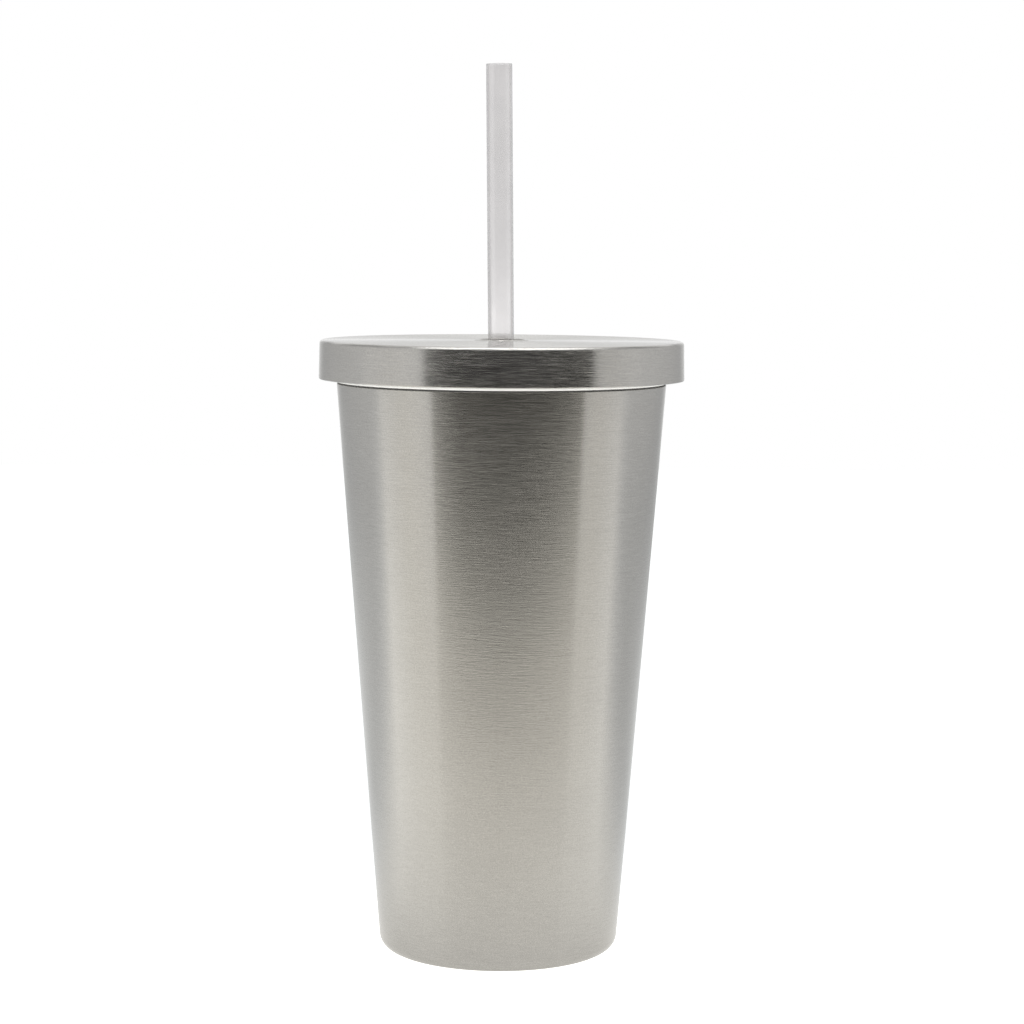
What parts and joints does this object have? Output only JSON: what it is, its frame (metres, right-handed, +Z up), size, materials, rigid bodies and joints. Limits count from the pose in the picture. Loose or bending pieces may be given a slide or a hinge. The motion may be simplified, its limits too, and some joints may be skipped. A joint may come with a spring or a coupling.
{
  "type": "straw tumbler",
  "caption": "Double-walled tapered tumbler: brushed steel shell, white plastic liner, steel-topped screw lid and a clear drinking straw through the lid's centre.",
  "frame": {"origin": "centre of the ring that the cup stands on, at table height", "axes": "+Z up along the cup's axis; -Y towards the viewer; the straw leans slightly towards -X"},
  "size_m": [0.1, 0.1, 0.243],
  "materials": {
    "shell_steel": "fine horizontal brushing, satin",
    "base_plastic": "moulded, fine matt texture",
    "seal_silicone": "smooth matt silicone",
    "liner_plastic": "moulded, semi-gloss white",
    "lid_steel": "fine circular brushing, satin",
    "insert_plastic": "moulded, semi-gloss white",
    "gasket_silicone": "smooth milky silicone",
    "straw_clear": "clear extruded plastic, polished",
    "stop_ring_clear": "clear moulded plastic"
  },
  "bodies": {
    "cup": {"outer_shell": "shell_steel", "base_cap": "base_plastic", "shell_seal": "seal_silicone", "cup_liner": "liner_plastic"},
    "gasket": {"lid_gasket": "gasket_silicone"},
    "lid": {"lid_cap": "lid_steel", "lid_insert": "insert_plastic"},
    "straw": {"straw": "straw_clear", "straw_stop_ring": "stop_ring_clear"}
  },
  "joints": [
    {"name": "lid_lift", "type": "slide", "parent": "cup", "child": "gasket", "axis": [0, 0, 1], "range_m": [0, 0.008]},
    {"name": "lid_turn", "type": "hinge", "parent": "gasket", "child": "lid", "pos_m": [0, 0, 0.1652], "axis": [0, 0, 1], "range_deg": [0, 360]},
    {"name": "straw_slide", "type": "slide", "parent": "lid", "child": "straw", "axis": [-0.0133, 0, 0.9999], "range_m": [0, 0.086]}
  ],
  "couplings": [
    {"joint": "lid_lift", "follows": "lid_turn", "m_per_rad": 0.0012732}
  ]
}
